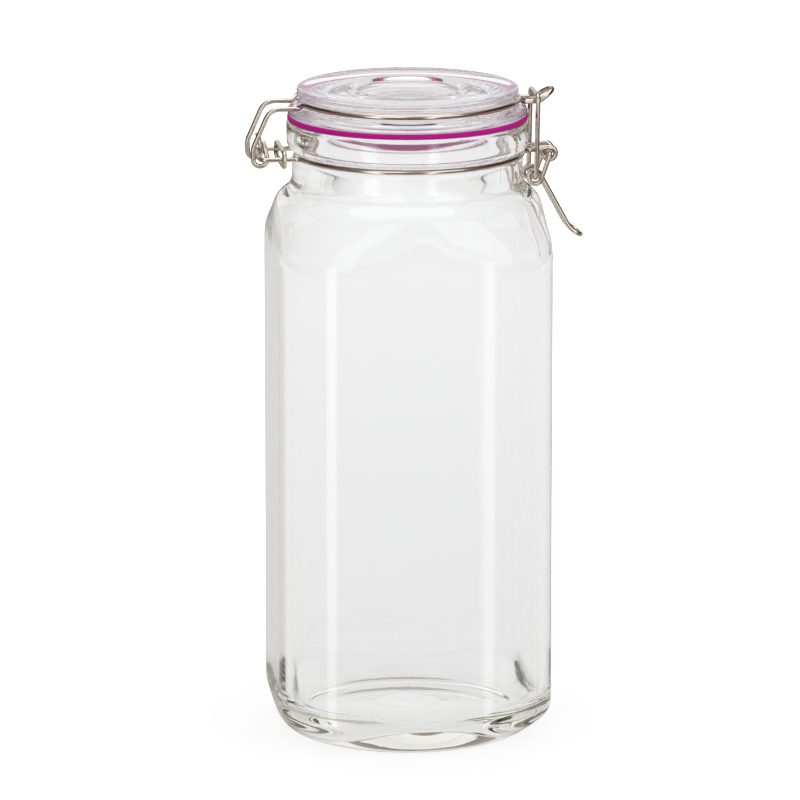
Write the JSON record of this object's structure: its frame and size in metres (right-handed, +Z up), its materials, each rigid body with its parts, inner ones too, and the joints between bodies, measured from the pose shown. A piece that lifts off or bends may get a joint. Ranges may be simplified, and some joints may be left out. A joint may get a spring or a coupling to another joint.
{
  "type": "bail clamp jar",
  "caption": "Tall clear glass storage jar, square with round corners, its round neck closed by a glass lid on a rubber ring that a wire bail with hinge, lever and link clamps down.",
  "frame": {"origin": "on the table, below the middle of the length from the hinge wires to the handle's tip", "axes": "+Z up along the jar, +X from the hinge towards the latch, +Y to the left of someone who looks along +X"},
  "size_m": [0.1332, 0.1082, 0.2597],
  "materials": {
    "jar_glass": "clear pressed glass, smooth, with thick base and shoulder corners",
    "lid_glass": "clear pressed glass, smooth, stepped dish in the top",
    "gasket_rubber": "satin coloured rubber, magenta",
    "wire_steel": "bright drawn wire, polished nickel grey"
  },
  "bodies": {
    "jar": {"jar_body": "jar_glass", "neck_ring": "wire_steel", "ring_clip": "wire_steel"},
    "lid": {"lid": "lid_glass", "gasket": "gasket_rubber", "lid_wire": "wire_steel"},
    "lever": {"latch_lever": "wire_steel"},
    "link": {"latch_link": "wire_steel"}
  },
  "joints": [
    {"name": "lid_hinge", "type": "hinge", "parent": "jar", "child": "lid", "pos_m": [-0.06275, 0, 0.2336], "axis": [0, -1, 0], "range_deg": [0, 200]},
    {"name": "lever_pivot", "type": "hinge", "parent": "jar", "child": "lever", "pos_m": [0.05255, 0, 0.2322], "axis": [0, -1, 0], "range_deg": [0, 150]},
    {"name": "link_pivot", "type": "hinge", "parent": "lever", "child": "link", "pos_m": [0.04655, 0, 0.2229], "axis": [0, -1, 0], "range_deg": [-300, 0]}
  ],
  "couplings": [
    {"joint": "link_pivot", "follows": "lever_pivot", "ratio": -2}
  ]
}
